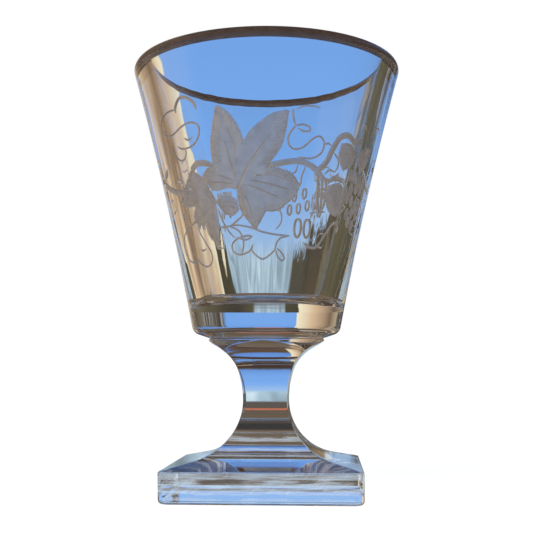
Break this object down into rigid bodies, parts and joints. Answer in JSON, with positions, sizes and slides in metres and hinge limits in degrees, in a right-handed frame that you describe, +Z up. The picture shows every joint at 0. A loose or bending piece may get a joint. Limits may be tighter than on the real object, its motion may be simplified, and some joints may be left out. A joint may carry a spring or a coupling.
{
  "type": "wine glass",
  "caption": "Stemmed goblet in heavy clear glass: flared bowl engraved with a fruiting vine, thick solid base, waisted square stem and square foot.",
  "frame": {"origin": "centre of the foot's underside, where the glass stands", "axes": "+Z up along the glass's axis; +X and +Y square to the foot's sides"},
  "size_m": [0.088, 0.088, 0.1404],
  "materials": {
    "foot_glass": "polished, finely scratched",
    "stem_glass": "fire polished",
    "wafer_glass": "fire polished",
    "bowl_glass": "fire polished, with matt wheel engraving"
  },
  "bodies": {
    "root": {"foot": "foot_glass", "stem": "stem_glass", "wafer": "wafer_glass", "bowl": "bowl_glass"}
  },
  "joints": []
}
